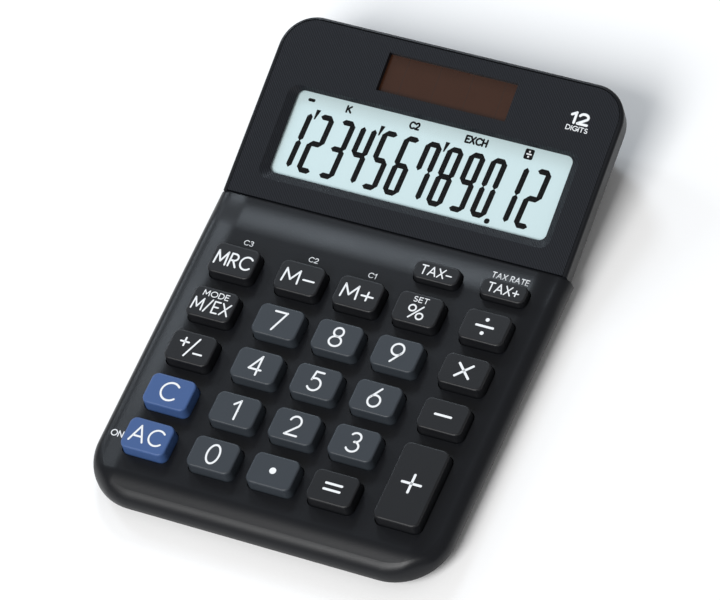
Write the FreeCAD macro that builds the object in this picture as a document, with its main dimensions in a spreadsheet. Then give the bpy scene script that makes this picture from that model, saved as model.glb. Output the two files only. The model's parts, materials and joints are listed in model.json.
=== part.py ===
import FreeCAD, Part
import math
import os
import re
from types import SimpleNamespace

import Sketcher
from FreeCAD import Placement, Rotation, Vector

# Desk calculator with a tilted display and twenty-six travelling keys.
# Millimetres and degrees. X runs to the right, Y to the back, Z up, and the origin is on
# the surface that the calculator stands on, under the middle of its outline.

SIZES = {
    # whole calculator
    "overall_width": 104.5,
    "overall_depth": 149.5,
    "overall_height": 22.1,
    "deck_tilt": 1.0,
    "display_tilt": 13.0,
    "display_run": 52.9,
    "display_width": 102.2,
    "panel_step": 0.5,
    # upper case
    "skirt_drop": 4.8,
    "case_wall": 1.6,
    "deck_wall": 1.5,
    "front_corner": 15.5,
    "back_corner": 10.0,
    "shoulder_round": 3.4,
    "rim_round": 0.8,
    "display_floor": 1.4,
    # display panel and what lies behind it
    "panel_thickness": 1.6,
    "panel_rim": 1.2,
    "panel_gap": 0.12,
    "window_width": 82.0,
    "window_length": 24.7,
    "window_up": 20.7,
    "window_corner": 2.0,
    "bevel_corner": 3.0,
    "bevel_side": 2.3,
    "bevel_front": 2.5,
    "bevel_back": 0.7,
    "solar_width": 38.4,
    "solar_length": 11.3,
    "solar_up": 43.2,
    "lens_thickness": 0.8,
    "lens_lap": 1.4,
    "glass_width": 85.6,
    "front_glass_length": 28.6,
    "glass_ledge": 3.0,
    "glass_thickness": 0.7,
    "reflector_thickness": 0.2,
    "cell_lap": 1.8,
    "cell_thickness": 1.1,
    "holder_thickness": 1.2,
    "holder_side": 1.5,
    "holder_front": 5.0,
    "holder_back": 3.6,
    "tongue_back": 4.65,
    "ribbon_width": 60.0,
    "ribbon_thickness": 0.16,
    # keys
    "key_width": 13.4,
    "key_length": 9.8,
    "tax_key_length": 5.9,
    "key_rise": 3.6,
    "tax_key_rise": 2.4,
    "key_taper": 2.0,
    "key_corner": 2.0,
    "key_edge": 0.55,
    "key_wall": 1.3,
    "key_top_wall": 1.1,
    "key_flange": 0.7,
    "flange_thickness": 0.6,
    "key_travel": 1.2,
    "key_gap": 0.22,
    "post_radius": 1.4,
    "inner_column": 17.5,
    "outer_column": 37.1,
    "row_pitch": 14.15,
    "front_row": 78.5,
    "tax_row": 9.4,
    # rubber keypad and circuit board
    "slip_gap": 0.08,
    "rubber_thickness": 0.5,
    "dome_radius": 2.7,
    "dome_top_radius": 1.9,
    "dome_wall": 0.45,
    "pill_radius": 1.1,
    "pill_thickness": 0.3,
    "board_thickness": 1.0,
    "board_width": 84.0,
    "board_start": 2.0,
    "board_end": 83.6,
    "pad_thickness": 0.1,
    "chip_radius": 5.5,
    "chip_top_radius": 3.6,
    "chip_height": 1.1,
    "capacitor_length": 2.0,
    "capacitor_width": 1.2,
    "capacitor_height": 0.9,
    "resistor_length": 1.6,
    "resistor_width": 0.8,
    "resistor_height": 0.5,
    # rear case and feet
    "foot_height": 1.0,
    "foot_radius": 4.5,
    "foot_recess": 0.4,
    "rear_floor": 1.5,
    "tray_side_gap": 0.5,
    "tray_end_gap": 0.35,
    "tray_corner_step": 1.4,
    "floor_side_tuck": 0.7,
    "floor_front_inset": 4.75,
    "floor_back_inset": 6.75,
    "rear_top_level": 11.4,
    "rear_edge": 1.0,
    "brim_thickness": 1.0,
    "fit_gap": 0.15,
    "recess_gap": 0.1,
    # screws
    "screw_radius": 1.0,
    "screw_length": 4.0,
    "screw_head_radius": 1.9,
    "screw_head_height": 1.2,
    "boss_wall": 1.0,
    "counterbore_wall": 0.7,
    "back_post_extra": 4.4,
    "slot_width": 0.35,
    "slot_depth": 0.4,
    "small_screw_radius": 0.9,
    "small_head_radius": 1.6,
    "small_head_height": 0.7,
    "thread_gap": 0.03,
    # button cell
    "cell_radius": 5.8,
    "cell_height": 3.05,
    "contact_thickness": 0.3,
    "contact_width": 4.0,
    "ring_wall": 1.3,
    "ring_height": 2.0,
    "wire_radius": 0.4,
}
size = SimpleNamespace(**SIZES)

# Where each screw goes: across and along the standing surface, or across and down the deck.
# What stands at an end of the case is placed from that end.
FRONT_END = -size.overall_depth / 2
BACK_END = size.overall_depth / 2
FRONT_SCREWS = [(-38.5, FRONT_END + 10.05), (38.5, FRONT_END + 10.05)]
BACK_SCREWS = [(-38.0, BACK_END - 11.75), (38.0, BACK_END - 11.75)]
BOARD_SCREWS = [(-27.3, 15.7), (27.3, 15.7), (-27.3, 57.3), (27.3, 57.3)]
HOLDER_SCREWS = [(-38.0, 1.0), (38.0, 1.0), (-30.0, 37.0), (30.0, 37.0)]
FEET = [(-36.0, FRONT_END + 17.75), (36.0, FRONT_END + 17.75),
        (-34.0, BACK_END - 21.75), (34.0, BACK_END - 21.75)]
CELL_PLACE = (24.0, BACK_END - 30.75)
CHIP_PLACE = (-8.0, 9.0)
CAPACITORS = [(-25.0, 6.0), (2.0, 6.0), (7.0, 6.0), (12.0, 6.0)]
RESISTORS = [(2.0, 13.0), (6.0, 13.0), (10.0, 13.0)]

COLUMNS = (-size.outer_column, -size.inner_column, 0.0, size.inner_column, size.outer_column)
KEY_ROWS = (
    ("mrc", "m_minus", "m_plus", "percent", "divide"),
    ("mode", "7", "8", "9", "multiply"),
    ("sign", "4", "5", "6", "minus"),
    ("c", "1", "2", "3", None),
    ("ac", "0", "point", "equals", None),
)

doc = FreeCAD.newDocument("DeskCalculator")
parts = []

# ---------------------------------------------------------------- places

TAN = {tilt: math.tan(math.radians(getattr(size, tilt))) for tilt in ("deck_tilt", "display_tilt")}
COS_DISPLAY = math.cos(math.radians(size.display_tilt))
KINK_Y = size.overall_depth / 2 - size.display_run
BACK_EDGE = size.overall_height + size.rim_round * (TAN["display_tilt"] + 1 / COS_DISPLAY - 1)
PANEL_Z = BACK_EDGE - size.display_run * TAN["display_tilt"]
DECK_Z = PANEL_Z - size.panel_step
SLOPE_LENGTH = size.display_run / COS_DISPLAY
ACROSS = Vector(1, 0, 0)
DISPLAY = Placement(Vector(0, KINK_Y, PANEL_Z), Rotation(ACROSS, size.display_tilt))
DECK = Placement(Vector(0, KINK_Y, DECK_Z), Rotation(ACROSS, size.deck_tilt))

# Levels measured along the deck's normal, from its top face.
FLANGE_TOP = -(size.deck_wall + size.slip_gap)
FLANGE_BOTTOM = FLANGE_TOP - size.flange_thickness
RUBBER_TOP = FLANGE_BOTTOM - size.key_travel - size.slip_gap
BOARD_TOP = RUBBER_TOP - size.rubber_thickness
BOARD_BOTTOM = BOARD_TOP - size.board_thickness

# Levels measured along the panel's normal, from its top face.
LENS_BOTTOM = -(size.panel_thickness + size.lens_thickness)
GLASS_TOP = LENS_BOTTOM - size.slip_gap
REAR_GLASS_TOP = GLASS_TOP - size.glass_thickness
REFLECTOR_TOP = REAR_GLASS_TOP - size.glass_thickness
HOLDER_TOP = REFLECTOR_TOP - size.reflector_thickness
HOLDER_BOTTOM = HOLDER_TOP - size.holder_thickness
FLOOR_BOTTOM = -(size.panel_thickness + size.display_floor)
CELL_BOTTOM = -(size.panel_thickness + size.cell_thickness)

GLASS_FRONT = size.window_up - size.front_glass_length / 2 - size.glass_ledge
GLASS_BACK = size.window_up + size.front_glass_length / 2
REAR_INSIDE = size.foot_height + size.rear_floor


def deck_point(across, down, level):
    """A point given across the deck, down it from the bend, and along its normal."""
    return DECK.multVec(Vector(across, -down, level))


def display_point(across, up, level):
    """A point given across the panel, up its slope from the bend, and along its normal."""
    return DISPLAY.multVec(Vector(across, up, level))


# ---------------------------------------------------------------- document helpers

def fill_sheet():
    """The driving sizes, one to a row, each cell with its alias."""
    sheet = doc.addObject("Spreadsheet::Sheet", "Sizes")
    for row, (alias, number) in enumerate(SIZES.items(), start=1):
        sheet.set(f"A{row}", alias)
        sheet.set(f"B{row}", str(number))
        sheet.setAlias(f"B{row}", alias)
    doc.recompute()


def sheet_terms(text):
    """An expression in size names, with each name made a reference to the sheet."""
    return re.sub(r"[a-z_]+", lambda word: f"Sizes.{word.group()}" if word.group() in SIZES else word.group(),
                  text)


def bind(item, target, text):
    """Binds a property or a named constraint to the sheet."""
    item.setExpression(target, sheet_terms(text))


def new_body(name, placement=Placement()):
    """An empty body at a place of its own."""
    body = doc.addObject("PartDesign::Body", name)
    body.Placement = placement
    return body


def new_sketch(body, plane_role, level=0.0, centre=(0.0, 0.0)):
    """A sketch on one of the body's own planes, moved along its normal to a level."""
    sketch = body.newObject("Sketcher::SketchObject", f"{body.Name}_sketch")
    plane = next(item for item in body.Origin.OriginFeatures if item.Role == plane_role)
    sketch.AttachmentSupport = [(plane, "")]
    sketch.MapMode = "FlatFace"
    sketch.AttachmentOffset = Placement(Vector(centre[0], centre[1], level), Rotation())
    return sketch


def named_constraint(sketch, name, text, *what):
    """A dimension constraint with a name, bound to the sheet."""
    index = sketch.addConstraint(Sketcher.Constraint(*what))
    sketch.renameConstraint(index, name)
    bind(sketch, f"Constraints.{name}", text)


def closed_outline(sketch, corners):
    """Straight edges joined end to end."""
    count = len(corners)
    for index in range(count):
        start, end = corners[index], corners[(index + 1) % count]
        sketch.addGeometry(Part.LineSegment(Vector(*start), Vector(*end)))
    for index in range(count):
        sketch.addConstraint(Sketcher.Constraint("Coincident", index, 2, (index + 1) % count, 1))


def rectangle(body, width, length, level=0.0, centre=(0.0, 0.0)):
    """A rectangle centred on its sketch, its two sizes bound to the sheet."""
    sketch = new_sketch(body, "XY_Plane", level, centre)
    closed_outline(sketch, [(-5, -5), (5, -5), (5, 5), (-5, 5)])
    for edge in (0, 2):
        sketch.addConstraint(Sketcher.Constraint("Horizontal", edge))
        sketch.addConstraint(Sketcher.Constraint("Vertical", edge + 1))
    sketch.addConstraint(Sketcher.Constraint("Symmetric", 0, 1, 2, 1, -1, 1))
    named_constraint(sketch, "width", width, "DistanceX", 0, 1, 0, 2, 10.0)
    named_constraint(sketch, "length", length, "DistanceY", 1, 1, 1, 2, 10.0)
    return sketch


def rounded_rectangle(body, width, length, corner, level=0.0, centre=(0.0, 0.0)):
    """A rectangle with arcs at its corners, centred on its sketch, its sizes bound to the sheet."""
    sketch = new_sketch(body, "XY_Plane", level, centre)
    reach, radius = 10.0, 2.0
    turns = [(1, -1), (1, 1), (-1, 1), (-1, -1)]
    for index, (side_x, side_y) in enumerate(turns):
        past_x, past_y = turns[index - 1]
        flat = reach - radius
        along_x, along_y = (flat, reach) if index % 2 == 0 else (reach, flat)
        start = Vector(past_x * along_x, past_y * along_y)
        end = Vector(side_x * along_x, side_y * along_y)
        sketch.addGeometry(Part.LineSegment(start, end))
        middle = Part.Circle(Vector(side_x * flat, side_y * flat), Vector(0, 0, 1), radius)
        angle = math.pi / 2 * (index - 1)
        sketch.addGeometry(Part.ArcOfCircle(middle, angle, angle + math.pi / 2))
    constrain = sketch.addConstraint
    for index in range(8):
        constrain(Sketcher.Constraint("Tangent", index, 2, (index + 1) % 8, 1))
    for index in (0, 4):
        constrain(Sketcher.Constraint("Horizontal", index))
        constrain(Sketcher.Constraint("Vertical", index + 2))
    for index in (3, 5, 7):
        constrain(Sketcher.Constraint("Equal", 1, index))
    constrain(Sketcher.Constraint("Symmetric", 1, 3, 5, 3, -1, 1))
    named_constraint(sketch, "corner", corner, "Radius", 1, radius)
    named_constraint(sketch, "width", width, "DistanceX", 6, 1, 2, 1, 2 * reach)
    named_constraint(sketch, "length", length, "DistanceY", 0, 1, 4, 1, 2 * reach)
    return sketch


def circle(body, radius, level=0.0, centre=(0.0, 0.0)):
    """A circle centred on its sketch, its radius bound to the sheet."""
    sketch = new_sketch(body, "XY_Plane", level, centre)
    sketch.addGeometry(Part.Circle(Vector(), Vector(0, 0, 1), 2.0))
    sketch.addConstraint(Sketcher.Constraint("Coincident", 0, 3, -1, 1))
    named_constraint(sketch, "radius", radius, "Radius", 0, 2.0)
    return sketch


def pad(body, sketch, length, down=False, taper=None):
    """A pad of the sketch, up or down its normal."""
    feature = body.newObject("PartDesign::Pad", f"{body.Name}_pad")
    feature.Profile = sketch
    feature.Reversed = down
    bind(feature, "Length", length)
    if taper:
        bind(feature, "TaperAngle", taper)
    return feature


def pocket(body, sketch, depth, up=False):
    """A pocket of the sketch, down its normal or up it."""
    feature = body.newObject("PartDesign::Pocket", f"{body.Name}_pocket")
    feature.Profile = sketch
    feature.Reversed = up
    bind(feature, "Length", depth)
    return feature


def edge_names(feature, chosen):
    """The names of the feature's edges that the test accepts."""
    return [f"Edge{index}" for index, edge in enumerate(feature.Shape.Edges, start=1) if chosen(edge)]


def round_edges(body, feature, radius, chosen):
    """A fillet on the chosen edges of the body's last feature."""
    doc.recompute()
    fillet = body.newObject("PartDesign::Fillet", f"{body.Name}_fillet")
    fillet.Base = (feature, edge_names(feature, chosen))
    bind(fillet, "Radius", radius)
    return fillet


def is_upright(edge):
    """A straight edge that runs mostly along its body's normal."""
    if len(edge.Vertexes) != 2:
        return False
    run = edge.Vertexes[1].Point - edge.Vertexes[0].Point
    return abs(run.z) > 0.8 * run.Length


def lies_at(level, sharpness=1e-4):
    """A test for edges that lie flat at one level."""
    def chosen(edge):
        box = edge.BoundBox
        return abs(box.ZMin - level) < sharpness and abs(box.ZMax - level) < sharpness
    return chosen


def slab(name, width, length, thickness, placement, level=0.0, centre=(0.0, 0.0), corner=None):
    """A flat rectangular piece hanging down from a level, with optional rounded corners."""
    body = new_body(name, placement)
    feature = pad(body, rectangle(body, width, length, level, centre), thickness, down=True)
    if corner:
        round_edges(body, feature, corner, is_upright)
    return body


def cylinder(name, radius, base, height, axis_of=None):
    """A Part cylinder standing on a base point, its radius bound to the sheet."""
    item = doc.addObject("Part::Cylinder", name)
    bind(item, "Radius", radius)
    item.Height = height
    turn = axis_of.Rotation if axis_of else Rotation()
    item.Placement = Placement(base, turn)
    return item


def joined(name, pieces):
    """One object made of several that overlap or touch."""
    item = doc.addObject("Part::MultiFuse", name)
    item.Shapes = pieces
    return item


def cut(name, base, tool):
    """A base with a tool taken out of it."""
    item = doc.addObject("Part::Cut", name)
    item.Base = base
    item.Tool = tool
    return item


def shared(name, base, tool):
    """What two objects have in common."""
    item = doc.addObject("Part::Common", name)
    item.Base = base
    item.Tool = tool
    return item


def loose_group(name, pieces):
    """Separate solids kept together under one name."""
    item = doc.addObject("Part::Compound", name)
    item.Links = pieces
    return item


def finish(item, name):
    """Gives a sub-part its own label and puts it on the list to write."""
    item.Label = name
    parts.append(item)
    return item


# ---------------------------------------------------------------- upper case

def bent_block(name, run, tilt, width, height, corner, drop, sign, edge=None, depth_inset="0"):
    """A block whose top slopes away from the bend: sign +1 to the back, -1 to the front.

    Its far corners are rounded in plan and, for an outside block, so are its top edges."""
    body = new_body(name, Placement(Vector(0, KINK_Y, height), Rotation()))
    sketch = new_sketch(body, "YZ_Plane")
    rise = 2 * sign
    closed_outline(sketch, [(0, 0), (10 * sign, rise), (10 * sign, rise - 5), (0, -5)])
    constrain = sketch.addConstraint
    constrain(Sketcher.Constraint("Coincident", 0, 1, -1, 1))
    for edge_index in (1, 3):
        constrain(Sketcher.Constraint("Vertical", edge_index))
    constrain(Sketcher.Constraint("Parallel", 0, 2))
    first, last = ((0, 1), (0, 2)) if sign > 0 else ((0, 2), (0, 1))
    named_constraint(sketch, "run", f"{run} - {depth_inset}", "DistanceX", *first, *last, 10.0)
    named_constraint(sketch, "rise", f"({run} - {depth_inset}) * tan({tilt} * 1 deg)",
                     "DistanceY", *first, *last, 2.0)
    named_constraint(sketch, "drop", drop, "DistanceY", 1, 2, 1, 1, 5.0)
    block = pad(body, sketch, width)
    block.SideType = "Symmetric"

    def far_corner(candidate):
        return is_upright(candidate) and candidate.CenterOfMass.y * sign > 1.0

    last_feature = round_edges(body, block, corner, far_corner)
    if edge:
        def outer_top(candidate):
            centre = candidate.CenterOfMass
            on_slope = abs(centre.z - TAN[tilt] * centre.y) < 0.3
            return centre.y * sign > 0.5 and on_slope and not is_upright(candidate)
        last_feature = round_edges(body, last_feature, edge, outer_top)
    return body


def outer_shell():
    """The two outside blocks of the upper case: the key deck and the display section."""
    deck = bent_block("deck_block", "overall_depth - display_run", "deck_tilt",
                      "overall_width", DECK_Z, "front_corner", "skirt_drop - panel_step", -1,
                      "shoulder_round")
    display = bent_block("display_block", "display_run", "display_tilt", "display_width", PANEL_Z,
                         "back_corner", "skirt_drop", 1, "rim_round")
    return joined("shell_outside", [deck, display])


def inner_shell():
    """The space inside the upper case, open at the bottom."""
    deck = bent_block("deck_space", "overall_depth - display_run", "deck_tilt",
                      "overall_width - 2 * case_wall", DECK_Z - size.deck_wall,
                      "front_corner - case_wall", "3 * skirt_drop", -1, depth_inset="case_wall")
    display = bent_block("display_space", "display_run", "display_tilt",
                         "display_width - 2 * case_wall", PANEL_Z + FLOOR_BOTTOM / COS_DISPLAY,
                         "back_corner - case_wall", "3 * skirt_drop", 1, depth_inset="case_wall")
    return joined("shell_inside", [deck, display])


def key_list():
    """Every key: its name, place across, place down the deck, length text and rise text."""
    keys = []
    for row, names in enumerate(KEY_ROWS):
        down = size.front_row - (len(KEY_ROWS) - 1 - row) * size.row_pitch
        for across, name in zip(COLUMNS, names):
            if name:
                keys.append((name, across, down, "key_length", "key_rise"))
    plus_down = size.front_row - size.row_pitch / 2
    keys.append(("plus", size.outer_column, plus_down, "key_length + row_pitch", "key_rise"))
    keys.append(("tax_minus", size.inner_column, size.tax_row, "tax_key_length", "tax_key_rise"))
    keys.append(("tax_plus", size.outer_column, size.tax_row, "tax_key_length", "tax_key_rise"))
    return keys


def key_holes():
    """The openings in the deck, one for each key with its running gap."""
    holes = []
    for name, across, down, length, _ in key_list():
        place = Placement(deck_point(across, down, 1.0), DECK.Rotation)
        holes.append(slab(f"hole_{name}", "key_width + 2 * key_gap", f"{length} + 2 * key_gap",
                          "3 * deck_wall + 2", place, corner="key_corner + key_gap"))
    return holes


def panel_openings():
    """What is cut out of the display section: the panel's seat and the two openings in its floor."""
    seat_length = "display_run / cos(display_tilt * 1 deg) - panel_rim + 2 * panel_gap"
    seat_centre = (SLOPE_LENGTH - size.panel_rim) / 2
    seat = slab("panel_seat", "display_width - 2 * panel_rim", seat_length, "panel_thickness", DISPLAY,
                centre=(0, seat_centre))
    doc.recompute()
    round_edges(seat, seat.Tip, "back_corner - panel_rim", is_back_corner)
    glass_centre = (GLASS_FRONT + GLASS_BACK) / 2
    glass_hole = slab("glass_opening", "glass_width + 4 * fit_gap",
                      "front_glass_length + glass_ledge + 6 * fit_gap", "3 * panel_thickness", DISPLAY,
                      centre=(0, glass_centre))
    cell_hole = slab("cell_opening", "solar_width + 2 * cell_lap + 2 * fit_gap",
                     "solar_length + 2 * cell_lap + 2 * fit_gap", "3 * panel_thickness", DISPLAY,
                     centre=(0, size.solar_up))
    return [seat, glass_hole, cell_hole]


def case_bosses():
    """Round posts inside the upper case that take its screws, and the holes down their middles."""
    posts, bores = [], []
    front_bottom = REAR_INSIDE + size.screw_head_height + size.fit_gap
    back_bottom = front_bottom + size.back_post_extra
    spots = [(spot, front_bottom) for spot in FRONT_SCREWS] + [(spot, back_bottom) for spot in BACK_SCREWS]
    for number, ((across, along), bottom) in enumerate(spots):
        tilt = "deck_tilt" if along < KINK_Y else "display_tilt"
        wall_middle = DECK_Z - size.deck_wall / 2
        if along > KINK_Y:
            wall_middle = PANEL_Z - (size.panel_thickness + size.display_floor / 2) / COS_DISPLAY
        top = wall_middle + (along - KINK_Y) * TAN[tilt]
        posts.append(cylinder(f"case_boss_{number}", "screw_radius + boss_wall",
                              Vector(across, along, bottom), top - bottom))
        bores.append(cylinder(f"case_boss_bore_{number}", "screw_radius + thread_gap",
                              Vector(across, along, bottom - 1), size.screw_length + 1))
    for number, (across, down) in enumerate(BOARD_SCREWS):
        base = deck_point(across, down, BOARD_TOP)
        height = -size.deck_wall / 2 - BOARD_TOP
        posts.append(cylinder(f"board_post_{number}", "small_screw_radius + boss_wall", base, height, DECK))
        bores.append(cylinder(f"board_post_bore_{number}", "small_screw_radius + thread_gap", base,
                              -size.deck_wall - BOARD_TOP, DECK))
    for number, (across, up) in enumerate(HOLDER_SCREWS):
        base = display_point(across, up, HOLDER_TOP)
        middle = FLOOR_BOTTOM + size.display_floor / 2
        posts.append(cylinder(f"holder_post_{number}", "small_screw_radius + boss_wall", base,
                              middle - HOLDER_TOP, DISPLAY))
        bores.append(cylinder(f"holder_post_bore_{number}", "small_screw_radius + thread_gap", base,
                              middle - HOLDER_TOP, DISPLAY))
    return posts, bores


def make_upper_case():
    """The visible top half: key deck, display section, skirt, screw posts and all its openings."""
    posts, bores = case_bosses()
    hollow = cut("shell_hollow", outer_shell(), inner_shell())
    with_posts = joined("shell_with_posts", [hollow] + posts)
    openings = joined("case_openings", key_holes() + panel_openings() + bores)
    finish(cut("upper_case", with_posts, openings), "upper_case")


# ---------------------------------------------------------------- display

def make_display_panel():
    """The faceplate, with a bevelled opening over the display and a plain one over the solar cell."""
    length = "display_run / cos(display_tilt * 1 deg) - panel_rim - 2 * panel_gap"
    centre = (SLOPE_LENGTH - size.panel_rim) / 2
    body = new_body("display_panel", DISPLAY)
    plate = pad(body, rectangle(body, "display_width - 2 * panel_rim - 2 * panel_gap", length,
                                centre=(0, centre)), "panel_thickness", down=True)
    round_edges(body, plate, "back_corner - panel_rim - panel_gap", is_back_corner)
    doc.recompute()
    bevel = body.newObject("PartDesign::SubtractiveLoft", "window_bevel")
    bevel_centre = size.window_up + (size.bevel_back - size.bevel_front) / 2
    bevel.Profile = rounded_rectangle(body, "window_width + 2 * bevel_side",
                                      "window_length + bevel_front + bevel_back", "bevel_corner", 0.0,
                                      (0, bevel_centre))
    bevel.Sections = [rounded_rectangle(body, "window_width", "window_length", "window_corner",
                                        -size.panel_thickness, (0, size.window_up))]
    bevel.Ruled = True
    pocket(body, rectangle(body, "solar_width", "solar_length", 0.0, (0, size.solar_up)),
           "2 * panel_thickness")
    finish(body, "display_panel")


def is_back_corner(edge):
    """An upright edge at the far end of a panel that starts at the bend."""
    return is_upright(edge) and edge.CenterOfMass.y > size.panel_rim


def make_display_stack():
    """Clear window, the two glasses of the display, its reflector and the solar cell."""
    glass_centre = (0, (GLASS_FRONT + GLASS_BACK) / 2)
    rear_length = "front_glass_length + glass_ledge"
    finish(slab("display_window", "window_width + 2 * lens_lap", "window_length + 2 * lens_lap",
                "lens_thickness", DISPLAY, -size.panel_thickness, (0, size.window_up)), "display_window")
    finish(slab("lcd_front_glass", "glass_width", "front_glass_length", "glass_thickness", DISPLAY,
                GLASS_TOP, (0, size.window_up)), "lcd_front_glass")
    finish(slab("lcd_rear_glass", "glass_width", rear_length, "glass_thickness", DISPLAY,
                REAR_GLASS_TOP, glass_centre), "lcd_rear_glass")
    finish(slab("lcd_reflector", "glass_width", rear_length, "reflector_thickness", DISPLAY,
                REFLECTOR_TOP, glass_centre), "lcd_reflector")
    finish(slab("solar_cell", "solar_width + 2 * cell_lap", "solar_length + 2 * cell_lap",
                "cell_thickness", DISPLAY, -size.panel_thickness, (0, size.solar_up)), "solar_cell")
    foam = slab("solar_foam", "solar_width - 4 * cell_lap", "solar_length - cell_lap",
                f"{CELL_BOTTOM - HOLDER_TOP}", DISPLAY, CELL_BOTTOM, (0, size.solar_up))
    finish(foam, "solar_foam")


def make_display_holder():
    """The frame that clamps the display up against the case, with a tongue behind the solar cell."""
    low, high = GLASS_FRONT - size.holder_front, GLASS_BACK + size.holder_back
    plate = slab("holder_plate", "glass_width + 2 * holder_side", f"{high - low}", "holder_thickness",
                 DISPLAY, HOLDER_TOP, (0, (low + high) / 2))
    tongue_end = size.solar_up + size.tongue_back
    tongue_start = GLASS_BACK
    tongue = slab("holder_tongue", "solar_width - 3 * cell_lap", f"{tongue_end - tongue_start}",
                  "holder_thickness", DISPLAY, HOLDER_TOP, (0, (tongue_end + tongue_start) / 2))
    openings = [slab("holder_window", "glass_width / 2", "front_glass_length / 2", "3 * holder_thickness",
                     DISPLAY, HOLDER_TOP + 1, (0, size.window_up))]
    for number, (across, up) in enumerate(HOLDER_SCREWS):
        base = display_point(across, up, HOLDER_BOTTOM - 1)
        openings.append(cylinder(f"holder_hole_{number}", "small_screw_radius + thread_gap", base,
                                 size.holder_thickness + 2, DISPLAY))
    whole = joined("holder_whole", [plate, tongue])
    finish(cut("display_holder", whole, joined("holder_openings", openings)), "display_holder")


def strip(name, points, width, thickness, across):
    """A thin bent strip: a line of points in the side view, thickened and run across."""
    path = [Vector(across - width / 2, y, z) for y, z in points]
    wire = Part.makePolygon(path)
    outline = wire.makeOffset2D(thickness / 2, join=2, fill=True, openResult=True)
    item = doc.addObject("Part::Feature", name)
    item.Shape = outline.extrude(Vector(width, 0, 0))
    return item


def make_display_ribbon():
    """The flat ribbon that joins the display's ledge to the circuit board."""
    half = size.ribbon_thickness / 2
    on_ledge = REAR_GLASS_TOP + half
    points = [display_point(0, GLASS_FRONT + size.glass_ledge - 0.4, on_ledge),
              display_point(0, GLASS_FRONT - 1.0, on_ledge),
              deck_point(0, size.board_start - 0.4, BOARD_TOP + half),
              deck_point(0, size.board_start + 2.6, BOARD_TOP + half)]
    side_view = [(point.y, point.z) for point in points]
    finish(strip("display_ribbon", side_view, size.ribbon_width, size.ribbon_thickness, 0.0),
           "display_ribbon")


# ---------------------------------------------------------------- keys

def make_key(name, across, down, length, rise):
    """One key: a hollow cap with rounded edges, a stop flange under the deck and a pressing post."""
    body = new_body(f"key_{name}", Placement(deck_point(across, down, 0), DECK.Rotation))
    height = f"deck_wall + slip_gap + {rise}"
    cap = pad(body, rectangle(body, "key_width", length, FLANGE_TOP), height, taper="-key_taper")
    cap = round_edges(body, cap, "key_corner", is_upright)
    round_edges(body, cap, "key_edge", lies_at(getattr(size, rise)))
    pad(body, rectangle(body, "key_width + 2 * key_flange", f"{length} + 2 * key_flange", FLANGE_TOP),
        "flange_thickness", down=True)
    pocket(body, rectangle(body, "key_width - 2 * key_wall", f"{length} - 2 * key_wall",
                           FLANGE_BOTTOM),
           f"flange_thickness + {height} - key_top_wall", up=True)
    pad(body, circle(body, "post_radius", FLANGE_BOTTOM), f"flange_thickness + {height} - key_top_wall / 2")
    finish(body, f"key_{name}")


# ---------------------------------------------------------------- rubber keypad and circuit board

def dome_cone(name, across, down, bottom, low_radius, high_radius, height):
    """A Part cone standing on the circuit board side of the rubber sheet."""
    cone = doc.addObject("Part::Cone", name)
    bind(cone, "Radius1", low_radius)
    bind(cone, "Radius2", high_radius)
    cone.Height = height
    cone.Placement = Placement(deck_point(across, down, bottom), DECK.Rotation)
    return cone


def make_rubber_keypad():
    """One sheet with a hollow dome under every key, clear of the case's posts."""
    start = size.board_start + 3.2
    end = size.board_end - 1.0
    sheet = slab("rubber_sheet", "board_width - 2", f"{end - start}", "rubber_thickness", DECK, RUBBER_TOP,
                 (0, -(start + end) / 2))
    dome_height = FLANGE_BOTTOM - size.slip_gap - RUBBER_TOP
    domes, hollows, pills = [], [], []
    pill_level = RUBBER_TOP + dome_height - size.dome_wall - size.pill_thickness
    for name, across, down, _, _ in key_list():
        domes.append(dome_cone(f"dome_{name}", across, down, RUBBER_TOP, "dome_radius", "dome_top_radius",
                               dome_height))
        hollows.append(dome_cone(f"dome_space_{name}", across, down, BOARD_TOP, "dome_radius - dome_wall",
                                 "dome_top_radius - dome_wall",
                                 dome_height + size.rubber_thickness - size.dome_wall))
        pills.append(cylinder(f"pill_{name}", "pill_radius", deck_point(across, down, pill_level),
                              size.pill_thickness, DECK))
    for number, (across, down) in enumerate(BOARD_SCREWS):
        hollows.append(cylinder(f"rubber_hole_{number}", "small_screw_radius + boss_wall + fit_gap",
                                deck_point(across, down, BOARD_TOP - 1), size.rubber_thickness + 2, DECK))
    whole = joined("rubber_whole", [sheet] + domes)
    finish(cut("rubber_keypad", whole, joined("rubber_openings", hollows)), "rubber_keypad")
    finish(loose_group("contact_pills", pills), "contact_pills")


def make_circuit_board():
    """The board under the keys, its screw holes and a pair of carbon pads below every dome."""
    board = slab("board_plate", "board_width", "board_end - board_start", "board_thickness", DECK, BOARD_TOP,
                 (0, -(size.board_start + size.board_end) / 2))
    holes = [cylinder(f"board_hole_{number}", "small_screw_radius + fit_gap",
                      deck_point(across, down, BOARD_BOTTOM - 1), size.board_thickness + 2, DECK)
             for number, (across, down) in enumerate(BOARD_SCREWS)]
    finish(cut("circuit_board", board, joined("board_holes", holes)), "circuit_board")
    pads = []
    for name, across, down, _, _ in key_list():
        for side in (-1, 1):
            place = (across + side * size.pill_radius * 0.62, -down)
            pads.append(slab(f"pad_{name}_{'left' if side < 0 else 'right'}", "pill_radius", "2 * pill_radius",
                             "pad_thickness", DECK, BOARD_TOP + size.pad_thickness, place))
    finish(loose_group("contact_pads", pads), "contact_pads")


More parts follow.
